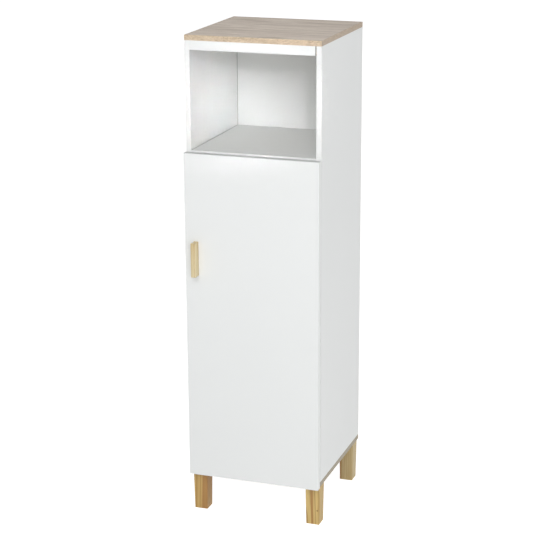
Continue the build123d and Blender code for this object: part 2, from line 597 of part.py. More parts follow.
with BuildPart() as hinge_pins:
    for hinge_z in HINGE_HEIGHTS:
        pin_end = (SWING_X, SWING_Y, hinge_z - SWING_PIN_LENGTH / 2)
        rod(pin_end, (0, 0, 1), SWING_PIN_RADIUS, SWING_PIN_LENGTH)
finish(hinge_pins, "hinge_pins")

with BuildPart() as cup_screws:
    for hinge_z in HINGE_HEIGHTS:
        for z in pair(hinge_z, CUP_SCREW_PITCH):
            seat = (CUP_X, DOOR_BACK + CUP_FLANGE, z)
            stud(seat, (0, -1, 0), SCREW_RADIUS, CUP_SCREW_LENGTH)
            stud(seat, (0, 1, 0), CUP_SCREW_HEAD_RADIUS, CUP_SCREW_HEAD)
finish(cup_screws, "cup_screws")

with BuildPart() as plate_screws:
    for hinge_z in HINGE_HEIGHTS:
        for z in pair(hinge_z, PLATE_SCREW_PITCH):
            seat = (PLATE_FACE, PLATE_Y, z)
            stud(seat, (1, 0, 0), SCREW_RADIUS, PLATE_SCREW_LENGTH)
            stud(seat, (-1, 0, 0), SCREW_HEAD_RADIUS, SCREW_HEAD)
finish(plate_screws, "plate_screws")

with BuildPart() as arm_screws:
    for hinge_z in HINGE_HEIGHTS:
        seat = (ARM_OUTER, PLATE_Y, hinge_z)
        stud(seat, (1, 0, 0), SCREW_RADIUS, ARM_STEEL + SADDLE_HEIGHT)
        stud(seat, (-1, 0, 0), SCREW_HEAD_RADIUS, SCREW_HEAD)
finish(arm_screws, "arm_screws")
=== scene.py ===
import math

import bmesh
import bpy
from mathutils import Matrix, Vector


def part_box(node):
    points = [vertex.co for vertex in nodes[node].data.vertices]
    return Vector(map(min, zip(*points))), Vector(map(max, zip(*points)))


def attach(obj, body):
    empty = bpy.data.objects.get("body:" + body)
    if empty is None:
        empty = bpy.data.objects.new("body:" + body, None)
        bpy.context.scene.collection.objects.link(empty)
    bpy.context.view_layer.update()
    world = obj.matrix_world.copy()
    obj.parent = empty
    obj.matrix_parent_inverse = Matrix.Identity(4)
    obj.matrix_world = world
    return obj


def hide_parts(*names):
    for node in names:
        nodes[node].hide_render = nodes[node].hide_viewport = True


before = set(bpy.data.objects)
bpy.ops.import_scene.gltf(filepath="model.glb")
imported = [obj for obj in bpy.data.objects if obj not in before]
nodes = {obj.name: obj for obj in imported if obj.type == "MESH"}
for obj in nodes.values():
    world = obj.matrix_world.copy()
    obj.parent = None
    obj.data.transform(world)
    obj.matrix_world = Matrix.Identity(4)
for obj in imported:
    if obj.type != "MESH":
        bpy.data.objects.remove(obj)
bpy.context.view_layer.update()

# The room: a pale studio floor that fades to white, and a world that lights evenly.
FLOOR_HALF = 40.0
FLOOR_WHITE = (0.90, 0.90, 0.90, 1.0)
FLOOR_LIFT = 0.8
FLOOR_DROP = 0.0004
PURE_WHITE = (1.0, 1.0, 1.0, 1.0)
WORLD_LIGHT = 0.31


def place_node(tree, kind, **settings):
    """A new node in a node tree, with its plain settings and its unlinked inputs filled in."""
    node = tree.nodes.new(kind)
    for name, value in settings.items():
        if name == "inputs":
            for socket, number in value.items():
                node.inputs[socket].default_value = number
        else:
            setattr(node, name, value)
    return node


def new_material(name):
    """An empty node material with its output; returns the material and its tree."""
    material = bpy.data.materials.new(name)
    material.use_nodes = True
    material.node_tree.nodes.clear()
    return material, material.node_tree


def seen_directly(tree):
    """1 where a ray from the camera, a mirror or glass looks at this, 0 where light bounces."""
    path = place_node(tree, "ShaderNodeLightPath")
    first = place_node(tree, "ShaderNodeMath", operation="MAXIMUM")
    second = place_node(tree, "ShaderNodeMath", operation="MAXIMUM")
    tree.links.new(path.outputs["Is Camera Ray"], first.inputs[0])
    tree.links.new(path.outputs["Is Glossy Ray"], first.inputs[1])
    tree.links.new(first.outputs[0], second.inputs[0])
    tree.links.new(path.outputs["Is Transmission Ray"], second.inputs[1])
    return second.outputs[0]


floor_material, tree = new_material("studio_floor")
diffuse = place_node(tree, "ShaderNodeBsdfDiffuse", inputs={"Color": FLOOR_WHITE})
lift = place_node(tree, "ShaderNodeEmission")
both = place_node(tree, "ShaderNodeAddShader")
out = place_node(tree, "ShaderNodeOutputMaterial")
strength = place_node(tree, "ShaderNodeMath", operation="MULTIPLY", inputs={1: FLOOR_LIFT})
tree.links.new(seen_directly(tree), strength.inputs[0])
tree.links.new(strength.outputs[0], lift.inputs["Strength"])
tree.links.new(diffuse.outputs[0], both.inputs[0])
tree.links.new(lift.outputs[0], both.inputs[1])
tree.links.new(both.outputs[0], out.inputs["Surface"])

floor_mesh = bpy.data.meshes.new("studio_floor")
corners = [
    (-FLOOR_HALF, -FLOOR_HALF), (FLOOR_HALF, -FLOOR_HALF),
    (FLOOR_HALF, FLOOR_HALF), (-FLOOR_HALF, FLOOR_HALF),
]
floor_mesh.from_pydata([(x, y, -FLOOR_DROP) for x, y in corners], [], [(0, 1, 2, 3)])
floor_mesh.materials.append(floor_material)
floor = bpy.data.objects.new("studio_floor", floor_mesh)
bpy.context.scene.collection.objects.link(floor)

world = bpy.data.worlds.new("studio")
world.use_nodes = True
tree = world.node_tree
tree.nodes.clear()
light_side = place_node(tree, "ShaderNodeBackground", inputs={"Color": PURE_WHITE, "Strength": WORLD_LIGHT})
white_side = place_node(tree, "ShaderNodeBackground", inputs={"Color": PURE_WHITE, "Strength": 1.0})
choose = place_node(tree, "ShaderNodeMixShader")
out = place_node(tree, "ShaderNodeOutputWorld")
tree.links.new(seen_directly(tree), choose.inputs[0])
tree.links.new(light_side.outputs[0], choose.inputs[1])
tree.links.new(white_side.outputs[0], choose.inputs[2])
tree.links.new(choose.outputs[0], out.inputs["Surface"])
bpy.context.scene.world = world
bpy.context.scene.view_settings.view_transform = "Standard"

# Soft lamps, each a square panel: a wide key beside the camera, one high in front for the top,
# one on the right for the side board, and two gridded ones that reach into the open niche.
# Each row: name, place, the point it faces, its size, its spread in degrees, its power.
LAMPS = (
    ("key_lamp", (1.7, -3.5, 1.6), (0.0, 0.0, 0.6), 1.8, 180.0, 41.0),
    ("high_lamp", (0.2, -3.0, 2.9), (0.0, 0.0, 0.6), 1.8, 180.0, 46.0),
    ("side_lamp", (3.4, 0.4, 1.7), (0.0, 0.0, 0.6), 2.0, 180.0, 23.0),
    ("niche_lamp", (1.05, -2.6, 1.8), (-0.08, 0.1, 0.95), 0.2, 5.5, 0.044),
    ("niche_wall_lamp", (1.9, -2.1, 1.35), (-0.15, -0.01, 0.965), 0.14, 4.6, 0.072),
)
for name, place, target, size, spread, power in LAMPS:
    lamp_data = bpy.data.lights.new(name, "AREA")
    lamp_data.shape = "SQUARE"
    lamp_data.size = size
    lamp_data.spread = math.radians(spread)
    lamp_data.energy = power
    lamp = bpy.data.objects.new(name, lamp_data)
    lamp.location = place
    lamp.rotation_euler = (Vector(target) - Vector(place)).to_track_quat("-Z", "Y").to_euler()
    bpy.context.scene.collection.objects.link(lamp)

# The camera: a long lens above the unit's top, turned a little to show its right side.
CAMERA_PLACE = (1.2230, -3.5091, 1.6706)
CAMERA_YAW = 0.33774
CAMERA_PITCH = 0.28720
CAMERA_ROLL = -0.00549
CAMERA_LENS = 109.67
camera_data = bpy.data.cameras.new("camera")
camera_data.sensor_width = 36.0
camera_data.lens = CAMERA_LENS
camera = bpy.data.objects.new("camera", camera_data)
turn = Matrix.Rotation(CAMERA_YAW, 4, "Z") @ Matrix.Rotation(math.pi / 2 - CAMERA_PITCH, 4, "X")
camera.matrix_world = Matrix.Translation(CAMERA_PLACE) @ turn @ Matrix.Rotation(CAMERA_ROLL, 4, "Z")
bpy.context.scene.collection.objects.link(camera)
bpy.context.scene.camera = camera

# White boards: chipboard faced with white melamine, silk matt with a faint pebbled skin.
# The sides, both shelves, the front rail and the door are this; all but the rail have glued
# bands. Sawn ends stay bare. Where one board meets the next, a thin dark line of painted shade
# stands for the shade in the gap.
MELAMINE_WHITE = (0.865, 0.88, 0.875, 1.0)
MELAMINE_SHADE = (0.84, 0.857, 0.853, 1.0)
BAND_WHITE = (0.86, 0.87, 0.865, 1.0)
# The door's top band is grey: painted shade of the gap under the fixed shelf's front edge.
TOP_BAND_PAINTED_SHADE = (0.62, 0.63, 0.63, 1.0)
TOP_BAND_PAINTED_SHADE_DEEP = (0.57, 0.58, 0.58, 1.0)
MELAMINE_ROUGHNESS = 0.42
CHIP_SCALE = 420.0
CHIP_LIGHT = (0.50, 0.36, 0.20, 1.0)
CHIP_DARK = (0.20, 0.12, 0.055, 1.0)
# Painted shade: a thin dark line on a board's face where it meets the next, for the shade in the gap.
PAINTED_GAP_SHADE = (0.16, 0.15, 0.14, 1.0)
GAP_SHADE_STRENGTH = 0.85
GAP_SHADE_WIDTH = 0.0011
RAIL_GAP_SHADE_WIDTH = 0.0018
REARWARD = (0.0, 1.0, 0.0)
SIDEWAYS = (1.0, 0.0, 0.0)
SAWN_FACING = 0.7
PEBBLE_STRENGTH = 0.12
PEBBLE_DEPTH = 0.00025
ROUGHNESS_SWING = 0.05
PEBBLE_SIZE = 900.0
CLOUD_SIZE = 3.2


def new_group(name, inputs, outputs):
    """A shader node group with named sockets; returns the group, its input and output nodes."""
    group = bpy.data.node_groups.new(name, "ShaderNodeTree")
    for socket, kind, default in inputs:
        item = group.interface.new_socket(socket, in_out="INPUT", socket_type=kind)
        if default is not None:
            item.default_value = default
    for socket, kind in outputs:
        group.interface.new_socket(socket, in_out="OUTPUT", socket_type=kind)
    return group, group.nodes.new("NodeGroupInput"), group.nodes.new("NodeGroupOutput")


FLOAT, COLOR, VECTOR = "NodeSocketFloat", "NodeSocketColor", "NodeSocketVector"
skin_group, start, end = new_group(
    "laminate_skin",
    [("Vector", VECTOR, None), ("Pebble Scale", FLOAT, PEBBLE_SIZE), ("Cloud Scale", FLOAT, CLOUD_SIZE)],
    [("Pebble", FLOAT), ("Cloud", FLOAT)],
)
pebble = place_node(skin_group, "ShaderNodeTexNoise", inputs={"Detail": 2.0, "Roughness": 0.6})
cloud = place_node(skin_group, "ShaderNodeTexNoise", inputs={"Detail": 3.0})
for noise, scale_socket, output in ((pebble, "Pebble Scale", "Pebble"), (cloud, "Cloud Scale", "Cloud")):
    skin_group.links.new(start.outputs["Vector"], noise.inputs["Vector"])
    skin_group.links.new(start.outputs[scale_socket], noise.inputs["Scale"])
    skin_group.links.new(noise.outputs["Fac"], end.inputs[output])


def place_group(tree, group, **inputs):
    node = place_node(tree, "ShaderNodeGroup", node_tree=group)
    for socket, value in inputs.items():
        node.inputs[socket.replace("_", " ").title()].default_value = value
    return node


def remap(tree, source, low, high):
    """Source's 0 to 1 spread over low to high."""
    node = place_node(tree, "ShaderNodeMapRange", inputs={"To Min": low, "To Max": high})
    tree.links.new(source, node.inputs["Value"])
    return node.outputs["Result"]


def times(tree, source, factor):
    node = place_node(tree, "ShaderNodeMath", operation="MULTIPLY", inputs={1: factor})
    tree.links.new(source, node.inputs[0])
    return node.outputs[0]


def blend_colors(tree, factor, first, second):
    """Two colours mixed; each is a socket or a fixed colour, and factor a socket or a number."""
    node = place_node(tree, "ShaderNodeMix", data_type="RGBA")
    for source, socket in ((factor, node.inputs[0]), (first, node.inputs[6]), (second, node.inputs[7])):
        if isinstance(source, bpy.types.NodeSocket):
            tree.links.new(source, socket)
        else:
            socket.default_value = source
    return node.outputs[2]


def add_bump(tree, shader, height, strength, distance):
    bump = place_node(tree, "ShaderNodeBump", inputs={"Strength": strength, "Distance": distance})
    tree.links.new(height, bump.inputs["Height"])
    tree.links.new(bump.outputs["Normal"], shader.inputs["Normal"])


def principled(tree, **inputs):
    """The Principled shader, wired to the material's output, with fixed socket values."""
    shader = place_node(tree, "ShaderNodeBsdfPrincipled")
    for socket, value in inputs.items():
        shader.inputs[socket.replace("_", " ")].default_value = value
    out = place_node(tree, "ShaderNodeOutputMaterial")
    tree.links.new(shader.outputs[0], out.inputs["Surface"])
    return shader


chip_group, start, end = new_group("chipboard_core", [("Vector", VECTOR, None)], [("Color", COLOR)])
chips = place_node(chip_group, "ShaderNodeTexVoronoi", inputs={"Scale": CHIP_SCALE, "Randomness": 1.0})
chip_tone = place_node(chip_group, "ShaderNodeMix", data_type="RGBA")
chip_tone.inputs[6].default_value = CHIP_DARK
chip_tone.inputs[7].default_value = CHIP_LIGHT
chip_grey = place_node(chip_group, "ShaderNodeRGBToBW")
chip_group.links.new(start.outputs["Vector"], chips.inputs["Vector"])
chip_group.links.new(chips.outputs["Color"], chip_grey.inputs[0])
chip_group.links.new(chip_grey.outputs[0], chip_tone.inputs[0])
chip_group.links.new(chip_tone.outputs[2], end.inputs["Color"])


def bare_where(tree, where, color, axis):
    """Bare chipboard over a colour, on the sawn faces that look along an axis."""
    surface = place_node(tree, "ShaderNodeNewGeometry")
    along = place_node(tree, "ShaderNodeVectorMath", operation="DOT_PRODUCT", inputs={1: axis})
    amount = place_node(tree, "ShaderNodeMath", operation="ABSOLUTE")
    sawn = place_node(tree, "ShaderNodeMath", operation="GREATER_THAN", inputs={1: SAWN_FACING})
    core = place_group(tree, chip_group)
    tree.links.new(surface.outputs["True Normal"], along.inputs[0])
    tree.links.new(along.outputs["Value"], amount.inputs[0])
    tree.links.new(amount.outputs[0], sawn.inputs[0])
    tree.links.new(where.outputs["Object"], core.inputs["Vector"])
    return blend_colors(tree, sawn.outputs[0], color, core.outputs["Color"])


def gap_shade_line(tree, where, color, axis, limit, both_ends):
    """Painted shade: a thin dark line on a board where it meets the next one, beyond a place on an axis."""
    parts = place_node(tree, "ShaderNodeSeparateXYZ")
    away = place_node(tree, "ShaderNodeMath", operation="ABSOLUTE" if both_ends else "ADD", inputs={1: 0.0})
    beyond = place_node(tree, "ShaderNodeMath", operation="GREATER_THAN", inputs={1: limit})
    tree.links.new(where.outputs["Object"], parts.inputs[0])
    tree.links.new(parts.outputs[axis], away.inputs[0])
    tree.links.new(away.outputs[0], beyond.inputs[0])
    return blend_colors(tree, times(tree, beyond.outputs[0], GAP_SHADE_STRENGTH), color, PAINTED_GAP_SHADE)


def laminate_material(name, light, dark, roughness=MELAMINE_ROUGHNESS, bare_axis=None, shade_lines=()):
    """Melamine or a glued band; bare_axis is where sawn faces look, shade_lines where painted shade marks
    gaps between boards.
    """
    material, tree = new_material(name)
    shader = principled(tree)
    where = place_node(tree, "ShaderNodeTexCoord")
    skin = place_group(tree, skin_group)
    tree.links.new(where.outputs["Object"], skin.inputs["Vector"])
    tone = blend_colors(tree, skin.outputs["Cloud"], dark, light)
    # Painted shade along each gap where this board meets the next.
    for axis, limit, both_ends in shade_lines:
        tone = gap_shade_line(tree, where, tone, axis, limit, both_ends)
    if bare_axis:
        tone = bare_where(tree, where, tone, bare_axis)
    tree.links.new(tone, shader.inputs["Base Color"])
    smoothest, roughest = roughness - ROUGHNESS_SWING, roughness + ROUGHNESS_SWING
    rough = remap(tree, skin.outputs["Cloud"], smoothest, roughest)
    tree.links.new(rough, shader.inputs["Roughness"])
    add_bump(tree, shader, skin.outputs["Pebble"], PEBBLE_STRENGTH, PEBBLE_DEPTH)
    return material


def dress(material, *names):
    """Give CAD nodes a material in place of the plain one they came with."""
    for name in names:
        mesh = nodes[name].data
        mesh.materials.clear()
        mesh.materials.append(material)
        for polygon in mesh.polygons:
            polygon.material_index = 0


inner_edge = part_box("fixed_shelf")[1].x
melamine = laminate_material("white_melamine", MELAMINE_WHITE, MELAMINE_SHADE)
side_white = laminate_material("white_side", MELAMINE_WHITE, MELAMINE_SHADE, bare_axis=REARWARD)
rail_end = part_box("front_rail")[1].x
shelf_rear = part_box("fixed_shelf")[1].y
# The rail's right end, and the fixed shelf's ends and rear, get a line of painted shade at their gaps.
rail_white = laminate_material(
    "white_rail", MELAMINE_WHITE, MELAMINE_SHADE, bare_axis=SIDEWAYS,
    shade_lines=[("X", rail_end - RAIL_GAP_SHADE_WIDTH, False)],
)
shelf_white = laminate_material(
    "white_fixed_shelf", MELAMINE_WHITE, MELAMINE_SHADE, bare_axis=SIDEWAYS,
    shade_lines=[("X", inner_edge - GAP_SHADE_WIDTH, True), ("Y", shelf_rear - GAP_SHADE_WIDTH, False)],
)
loose_white = laminate_material("white_loose_shelf", MELAMINE_WHITE, MELAMINE_SHADE, bare_axis=SIDEWAYS)
white_band = laminate_material("white_edge_band", BAND_WHITE, MELAMINE_WHITE, 0.36)
dress(side_white, "left_side", "right_side")
dress(rail_white, "front_rail")
dress(shelf_white, "fixed_shelf")
dress(loose_white, "inner_shelf")
dress(melamine, "door_panel")
dress(white_band, "left_side_band", "right_side_band", "fixed_shelf_band", "inner_shelf_band")
# Painted shade: the door's top band is grey for the shade under the fixed shelf's edge.
shaded_top_band = laminate_material("door_edge_painted_shade", TOP_BAND_PAINTED_SHADE, TOP_BAND_PAINTED_SHADE_DEEP, 0.5)
dress(shaded_top_band, "door_top_band")
dress(white_band, "door_bottom_band", "door_left_band", "door_right_band")

# The back: a 3 mm hardboard sheet slid into grooves in all four boards, painted white in front
# and left brown and fibrous behind. Thin dark lines of painted shade run down its upright edges
# in front, where it meets the sides.
HARDBOARD_BROWN = (0.28, 0.16, 0.08, 1.0)
HARDBOARD_PALE = (0.36, 0.22, 0.12, 1.0)
hardboard, tree = new_material("hardboard")
shader = principled(tree)
where = place_node(tree, "ShaderNodeTexCoord")
surface = place_node(tree, "ShaderNodeNewGeometry")
facing = place_node(tree, "ShaderNodeVectorMath", operation="DOT_PRODUCT", inputs={1: REARWARD})
rear_side = place_node(tree, "ShaderNodeMath", operation="GREATER_THAN", inputs={1: 0.0})
fibres = place_node(tree, "ShaderNodeTexNoise", inputs={"Scale": 260.0, "Detail": 5.0, "Roughness": 0.7})
skin = place_group(tree, skin_group)
for a, b in (
    (where.outputs["Object"], skin.inputs["Vector"]), (where.outputs["Object"], fibres.inputs["Vector"]),
    (surface.outputs["True Normal"], facing.inputs[0]), (facing.outputs["Value"], rear_side.inputs[0]),
):
    tree.links.new(a, b)
front_tone = blend_colors(tree, skin.outputs["Cloud"], MELAMINE_SHADE, MELAMINE_WHITE)
# Painted shade down both upright edges, where the back meets the sides.
front_tone = gap_shade_line(tree, where, front_tone, "X", inner_edge - GAP_SHADE_WIDTH, True)
rear_tone = blend_colors(tree, fibres.outputs["Fac"], HARDBOARD_BROWN, HARDBOARD_PALE)
both_tones = blend_colors(tree, rear_side.outputs[0], front_tone, rear_tone)
tree.links.new(both_tones, shader.inputs["Base Color"])
tree.links.new(remap(tree, rear_side.outputs[0], MELAMINE_ROUGHNESS, 0.8), shader.inputs["Roughness"])
add_bump(tree, shader, fibres.outputs["Fac"], 0.15, 0.0002)
dress(hardboard, "back_panel")

# Top and bottom boards: the same chipboard in a greige oak decor, its grain across the width.
# The printed grain is long faint streaks, a few darker cathedrals, and fine pores.
OAK_LIGHT = (0.78, 0.685, 0.59, 1.0)
OAK_DARK = (0.44, 0.355, 0.28, 1.0)
OAK_PORE = (0.30, 0.24, 0.19, 1.0)
GRAIN_STRETCH = (1.0, 9.0, 9.0)
PATCH_STRENGTH = 0.45

oak_group, start, end = new_group(
    "printed_oak",
    [
        ("Vector", VECTOR, None), ("Streak Scale", FLOAT, 9.0),
        ("Pore Scale", FLOAT, 60.0), ("Waviness", FLOAT, 0.35),
    ],
    [("Streaks", FLOAT), ("Planks", FLOAT), ("Pores", FLOAT)],
)
sway = place_node(oak_group, "ShaderNodeTexNoise", inputs={"Scale": 3.0, "Detail": 1.0})
shift = place_node(oak_group, "ShaderNodeVectorMath", operation="SCALE")
swayed = place_node(oak_group, "ShaderNodeVectorMath", operation="ADD")
streaks = place_node(oak_group, "ShaderNodeTexNoise", inputs={"Detail": 7.0, "Roughness": 0.62})
planks = place_node(oak_group, "ShaderNodeTexNoise", inputs={"Scale": 2.6, "Detail": 1.5, "Roughness": 0.4})
pores = place_node(oak_group, "ShaderNodeTexNoise", inputs={"Detail": 2.0, "Roughness": 0.7})
sharp = place_node(oak_group, "ShaderNodeMapRange", inputs={"From Min": 0.58, "From Max": 0.72})
oak_group.links.new(start.outputs["Vector"], sway.inputs["Vector"])
oak_group.links.new(sway.outputs["Color"], shift.inputs[0])
oak_group.links.new(start.outputs["Waviness"], shift.inputs["Scale"])
oak_group.links.new(start.outputs["Vector"], swayed.inputs[0])
oak_group.links.new(shift.outputs[0], swayed.inputs[1])
oak_group.links.new(swayed.outputs[0], streaks.inputs["Vector"])
oak_group.links.new(swayed.outputs[0], planks.inputs["Vector"])
oak_group.links.new(start.outputs["Vector"], pores.inputs["Vector"])
oak_group.links.new(start.outputs["Streak Scale"], streaks.inputs["Scale"])
oak_group.links.new(start.outputs["Pore Scale"], pores.inputs["Scale"])
oak_group.links.new(pores.outputs["Fac"], sharp.inputs["Value"])
oak_group.links.new(streaks.outputs["Fac"], end.inputs["Streaks"])
oak_group.links.new(planks.outputs["Fac"], end.inputs["Planks"])
oak_group.links.new(sharp.outputs["Result"], end.inputs["Pores"])


def contrast(tree, source, low, high):
    """Source's middle band, low to high, spread over 0 to 1."""
    node = place_node(tree, "ShaderNodeMapRange", inputs={"From Min": low, "From Max": high})
    tree.links.new(source, node.inputs["Value"])
    return node.outputs["Result"]


def oak_material(
    name, light, dark, pore, stretch, offset, streak_scale, pore_scale, pore_strength, bare=None,
):
    """Printed oak; stretch is high across the grain, and bare is where its sawn faces look."""
    material, tree = new_material(name)
    shader = principled(tree)
    where = place_node(tree, "ShaderNodeTexCoord")
    frame_of_grain = place_node(tree, "ShaderNodeMapping")
    frame_of_grain.inputs["Scale"].default_value = stretch
    frame_of_grain.inputs["Location"].default_value = offset
    grain = place_group(tree, oak_group, streak_scale=streak_scale, pore_scale=pore_scale)
    tree.links.new(where.outputs["Object"], frame_of_grain.inputs["Vector"])
    tree.links.new(frame_of_grain.outputs[0], grain.inputs["Vector"])
    base = blend_colors(tree, contrast(tree, grain.outputs["Streaks"], 0.34, 0.64), dark, light)
    pale_patches = times(tree, contrast(tree, grain.outputs["Planks"], 0.4, 0.62), PATCH_STRENGTH)
    broad = blend_colors(tree, pale_patches, base, light)
    full = blend_colors(tree, times(tree, grain.outputs["Pores"], pore_strength), broad, pore)
    if bare:
        full = bare_where(tree, where, full, bare)
    tree.links.new(full, shader.inputs["Base Color"])
    tree.links.new(remap(tree, grain.outputs["Streaks"], 0.5, 0.62), shader.inputs["Roughness"])
    add_bump(tree, shader, grain.outputs["Pores"], 0.25, -0.0001)
    return material


oak_face = oak_material(
    "oak_decor", OAK_LIGHT, OAK_DARK, OAK_PORE, GRAIN_STRETCH, (0.4, 1.3, 0.2),
    streak_scale=9.0, pore_scale=60.0, pore_strength=0.5, bare=REARWARD,
)
dress(oak_face, "top_panel", "bottom_panel")

# Edge bands of those boards: a lighter, warmer print, mottled because its pores run endwise.
# Heat-glued round the front and both ends; the rear edge stays raw. The bottom's are darker,
# painted shade for the shade low under the unit.
EDGE_LIGHT = (0.72, 0.59, 0.43, 1.0)
EDGE_DARK = (0.44, 0.325, 0.215, 1.0)
EDGE_PORE = (0.22, 0.145, 0.085, 1.0)
EDGE_SIDE_LIGHT = (0.58, 0.475, 0.375, 1.0)
EDGE_SIDE_DARK = (0.38, 0.29, 0.205, 1.0)
# Painted shade: the bottom board's bands are darker for the shade low under the unit.
EDGE_SHADE_LIGHT = (0.43, 0.38, 0.29, 1.0)
EDGE_SHADE_DARK = (0.32, 0.275, 0.20, 1.0)
edge_print = {
    "pore": EDGE_PORE, "streak_scale": 130.0, "pore_scale": 260.0, "pore_strength": 0.95,
}
ALONG_FRONT = (1.0, 2.5, 2.5)
ALONG_SIDE = (2.5, 1.0, 2.5)
edge_front = oak_material(
    "oak_edge_front", EDGE_LIGHT, EDGE_DARK,
    stretch=ALONG_FRONT, offset=(0.1, 0.7, 0.3), **edge_print,
)
edge_side = oak_material(
    "oak_edge_side", EDGE_SIDE_LIGHT, EDGE_SIDE_DARK,
    stretch=ALONG_SIDE, offset=(2.1, 0.3, 1.3), **edge_print,
)
edge_painted_shade = oak_material(
    "oak_edge_painted_shade", EDGE_SHADE_LIGHT, EDGE_SHADE_DARK,
    stretch=ALONG_SIDE, offset=(0.6, 0.2, 0.9), **edge_print,
)
dress(edge_front, "top_front_band")
dress(edge_side, "top_left_band", "top_right_band")
dress(edge_painted_shade, "bottom_front_band", "bottom_left_band", "bottom_right_band")

# Legs: four square pine posts that taper to the foot, sawn through the heart here and there.
# Their edges are eased by hand and they get one coat of clear matt lacquer.
PINE_PALE = (0.68, 0.50, 0.20, 1.0)
PINE_WARM = (0.37, 0.215, 0.065, 1.0)
PINE_HEART = (0.38, 0.19, 0.06, 1.0)
PINE_KNOT = (0.20, 0.085, 0.03, 1.0)
LEG_EASE = 0.0011
LEG_FACE_CUTS = 6
CORNER_TURN = 1.0
SHARP_ANGLE = math.radians(40)

pine_group, start, end = new_group(
    "sawn_pine",
    [
        ("Vector", VECTOR, None), ("Pith", VECTOR, (0.0, 0.0, 0.0)),
        ("Ring Width", FLOAT, 0.0028), ("Heart Middle", FLOAT, 0.0),
        ("Heart Half Width", FLOAT, 0.004), ("Heart Lean", FLOAT, 0.0),
    ],
    [("Rings", FLOAT), ("Heart", FLOAT), ("Fibre", FLOAT), ("Drift", FLOAT)],
)
apart = place_node(pine_group, "ShaderNodeVectorMath", operation="SUBTRACT")
flatten = place_node(pine_group, "ShaderNodeVectorMath", operation="MULTIPLY")
flatten.inputs[1].default_value = (1.0, 1.0, 0.06)
wander = place_node(pine_group, "ShaderNodeTexNoise", inputs={"Scale": 26.0, "Detail": 2.0})
wander_in = place_node(pine_group, "ShaderNodeVectorMath", operation="MULTIPLY")
wander_in.inputs[1].default_value = (1.0, 1.0, 0.12)
distance = place_node(pine_group, "ShaderNodeVectorMath", operation="LENGTH")
ring_count = place_node(pine_group, "ShaderNodeMath", operation="DIVIDE")
ring_wobble = place_node(pine_group, "ShaderNodeMath", operation="MULTIPLY_ADD", inputs={1: 1.7})
ring_part = place_node(pine_group, "ShaderNodeMath", operation="FRACT")
ring_rise = place_node(pine_group, "ShaderNodeMapRange", inputs={"From Min": 0.45, "From Max": 0.9})
ring_fall = place_node(pine_group, "ShaderNodeMapRange", inputs={"From Min": 1.0, "From Max": 0.93})
ring = place_node(pine_group, "ShaderNodeMath", operation="MULTIPLY")
split = place_node(pine_group, "ShaderNodeSeparateXYZ")
lean = place_node(pine_group, "ShaderNodeMath", operation="MULTIPLY")
across = place_node(pine_group, "ShaderNodeMath", operation="SUBTRACT")
off_middle = place_node(pine_group, "ShaderNodeMath", operation="SUBTRACT")
heart_wobble = place_node(pine_group, "ShaderNodeMath", operation="MULTIPLY_ADD", inputs={1: 0.006})
heart_gap = place_node(pine_group, "ShaderNodeMath", operation="ABSOLUTE")
heart_part = place_node(pine_group, "ShaderNodeMath", operation="DIVIDE")
heart = place_node(pine_group, "ShaderNodeMapRange", inputs={"From Min": 1.15, "From Max": 0.7})
fibre_in = place_node(pine_group, "ShaderNodeVectorMath", operation="MULTIPLY")
fibre_in.inputs[1].default_value = (1.0, 1.0, 0.035)
fibre = place_node(pine_group, "ShaderNodeTexNoise", inputs={"Detail": 3.0, "Roughness": 0.6})
fibre.inputs["Scale"].default_value = 900.0
drift = place_node(pine_group, "ShaderNodeTexNoise", inputs={"Scale": 60.0, "Detail": 2.0})
for a, b in (
    (start.outputs["Vector"], apart.inputs[0]), (start.outputs["Pith"], apart.inputs[1]),
    (apart.outputs[0], flatten.inputs[0]), (apart.outputs[0], wander_in.inputs[0]),
    (wander_in.outputs[0], wander.inputs["Vector"]), (flatten.outputs[0], distance.inputs[0]),
    (distance.outputs["Value"], ring_count.inputs[0]), (start.outputs["Ring Width"], ring_count.inputs[1]),
    (wander.outputs["Fac"], ring_wobble.inputs[0]), (ring_count.outputs[0], ring_wobble.inputs[2]),
    (ring_wobble.outputs[0], ring_part.inputs[0]), (ring_part.outputs[0], ring_rise.inputs["Value"]),
    (ring_part.outputs[0], ring_fall.inputs["Value"]), (ring_rise.outputs["Result"], ring.inputs[0]),
    (ring_fall.outputs["Result"], ring.inputs[1]), (ring.outputs[0], end.inputs["Rings"]),
    (start.outputs["Vector"], split.inputs[0]), (split.outputs["Z"], lean.inputs[0]),
    (start.outputs["Heart Lean"], lean.inputs[1]), (split.outputs["X"], across.inputs[0]),
    (lean.outputs[0], across.inputs[1]), (across.outputs[0], off_middle.inputs[0]),
    (start.outputs["Heart Middle"], off_middle.inputs[1]), (wander.outputs["Fac"], heart_wobble.inputs[0]),
    (off_middle.outputs[0], heart_wobble.inputs[2]), (heart_wobble.outputs[0], heart_gap.inputs[0]),
    (heart_gap.outputs[0], heart_part.inputs[0]), (start.outputs["Heart Half Width"], heart_part.inputs[1]),
    (heart_part.outputs[0], heart.inputs["Value"]), (heart.outputs["Result"], end.inputs["Heart"]),
    (start.outputs["Vector"], fibre_in.inputs[0]), (fibre_in.outputs[0], fibre.inputs["Vector"]),
    (fibre.outputs["Fac"], end.inputs["Fibre"]), (wander_in.outputs[0], drift.inputs["Vector"]),
    (drift.outputs["Fac"], end.inputs["Drift"]),
):
    pine_group.links.new(a, b)


